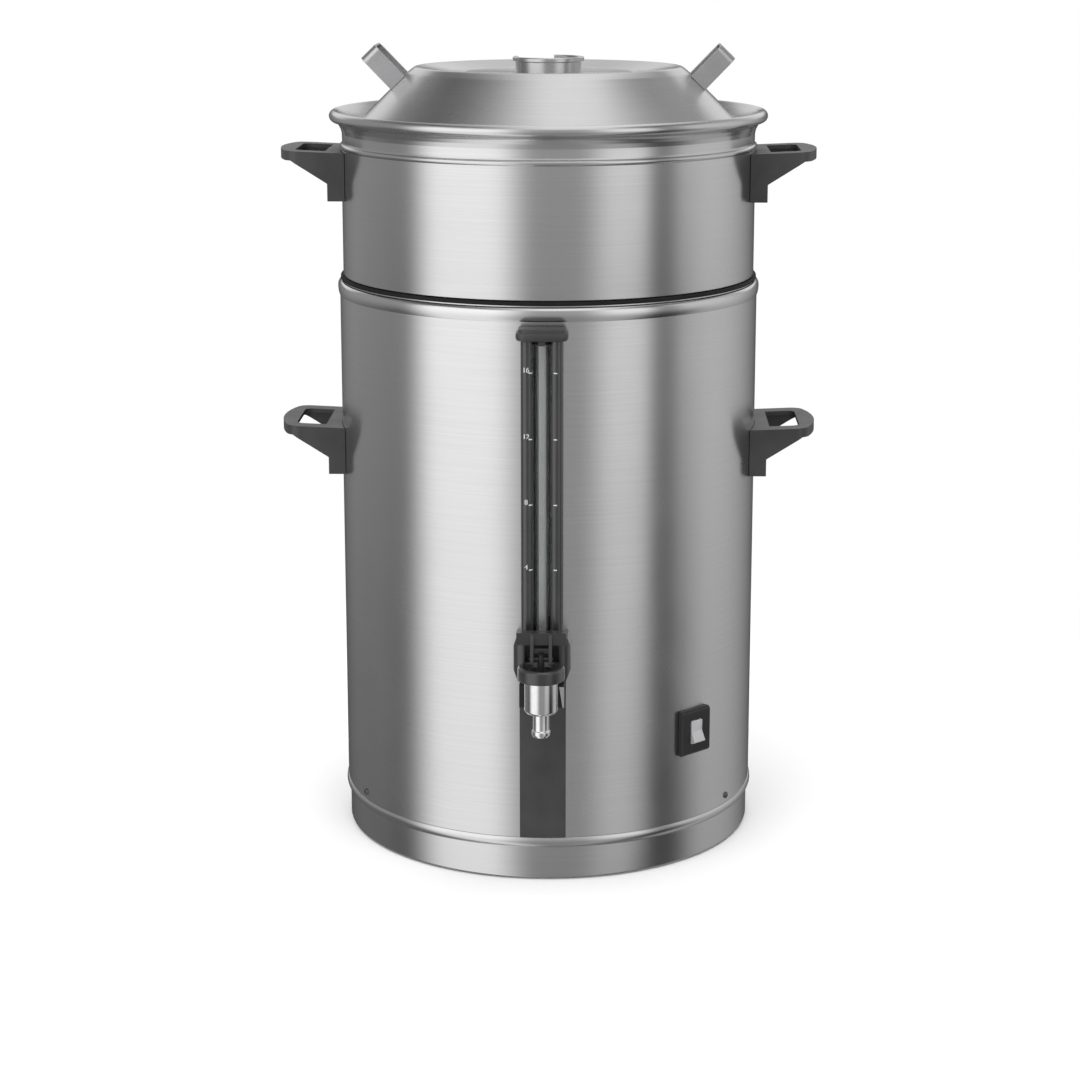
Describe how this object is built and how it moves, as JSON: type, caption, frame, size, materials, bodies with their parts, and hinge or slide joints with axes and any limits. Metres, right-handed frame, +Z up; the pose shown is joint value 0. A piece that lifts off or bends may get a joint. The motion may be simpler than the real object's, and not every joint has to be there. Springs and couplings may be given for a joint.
{
  "type": "brew kettle",
  "caption": "Tall insulated brew kettle with a front tap and level gauge, a lift-off brew pan with its filter basket, and a lid with strap handles.",
  "frame": {"origin": "centre of the footprint, on the kettle's round axis at the level the feet stand on", "axes": "+Z up along the round axis, -Y towards the front, where the tap and the gauge are, +X towards the viewer's right"},
  "size_m": [0.4384, 0.4072, 0.6454],
  "materials": {
    "brushed_shell": "brushed round the body, satin",
    "polished_rim": "finely brushed, nearly polished",
    "inner_steel": "drawn and lightly brushed",
    "lid_steel": "spun, satin",
    "strap_steel": "brushed flat bar",
    "galvanised_plate": "zinc coated, dull",
    "heater_plate": "cast, matte",
    "heater_tube": "heat darkened",
    "wool": "mineral wool",
    "rubber_black": "matt black",
    "silicone_black": "matt black silicone",
    "handle_plastic": "fine moulded grain, black",
    "tap_plastic": "smooth black moulding",
    "gauge_glass": "clear tube",
    "tap_chrome": "bright plated",
    "brass_nut": "turned",
    "rocker_plastic": "translucent grey lens",
    "contact_metal": "plated blades",
    "ceramic": "unglazed ceramic block",
    "screw_steel": "bright stainless"
  },
  "bodies": {
    "container": {"rubber_feet": "rubber_black", "base_ring": "brushed_shell", "bottom_plate": "galvanised_plate", "jacket": "brushed_shell", "rim_collar": "polished_rim", "inner_vessel": "inner_steel", "outlet_elbow": "inner_steel", "rim_seal": "silicone_black", "insulation": "wool", "heat_spreader": "heater_plate", "heating_element": "heater_tube", "element_clamp": "galvanised_plate", "clamp_nut": "brass_nut", "thermostat": "screw_steel", "overheat_cutout": "screw_steel", "terminal_block": "ceramic", "front_strip": "handle_plastic", "gauge_column": "tap_plastic", "gauge_cap": "handle_plastic", "gauge_glass": "gauge_glass", "gauge_seals": "silicone_black", "tap_housing": "tap_plastic", "tap_body": "tap_chrome", "shank_nut": "brass_nut", "tap_nozzle": "tap_chrome", "tap_bonnet": "tap_plastic", "tap_spring": "screw_steel", "switch_bezel": "handle_plastic", "switch_body": "handle_plastic", "power_inlet": "handle_plastic", "inlet_pins": "contact_metal", "base_screws": "screw_steel", "container_handle_right": "handle_plastic", "container_handle_left": "handle_plastic", "container_handle_screws": "screw_steel"},
    "valve": {"tap_stem": "screw_steel", "lever_pin": "screw_steel", "seat_cup": "silicone_black"},
    "lever": {"tap_lever": "tap_plastic"},
    "rocker": {"switch_rocker": "rocker_plastic"},
    "pan": {"brew_pan": "brushed_shell", "pan_outlet": "handle_plastic", "pan_handle_right": "handle_plastic", "pan_handle_left": "handle_plastic", "pan_handle_screws": "screw_steel"},
    "basket": {"filter_basket": "inner_steel"},
    "lid": {"lid_shell": "lid_steel", "water_inlet": "lid_steel", "spray_plate": "inner_steel", "lid_strap_right": "strap_steel", "lid_strap_left": "strap_steel"}
  },
  "joints": [
    {"name": "valve_lift", "type": "slide", "parent": "container", "child": "valve", "axis": [0, 0, 1], "range_m": [0, 0.00436], "deforming": ["tap_spring"]},
    {"name": "lever_pull", "type": "hinge", "parent": "valve", "child": "lever", "pos_m": [0, -0.212, 0.195], "axis": [1, 0, 0], "range_deg": [0, 50], "stiffness_Nm_per_rad": 0.05},
    {"name": "rocker_press", "type": "hinge", "parent": "container", "child": "rocker", "pos_m": [0.12018, -0.12445, 0.11], "axis": [0.7193, 0.6947, 0], "range_deg": [0, 24]},
    {"name": "pan_lift", "type": "slide", "parent": "container", "child": "pan", "axis": [0, 0, 1], "range_m": [0, 0.25]},
    {"name": "basket_lift", "type": "slide", "parent": "pan", "child": "basket", "axis": [0, 0, 1], "range_m": [0, 0.15]},
    {"name": "lid_lift", "type": "slide", "parent": "basket", "child": "lid", "axis": [0, 0, 1], "range_m": [0, 0.15]}
  ],
  "couplings": [
    {"joint": "lever_pull", "follows": "valve_lift", "rad_per_m": 200}
  ]
}
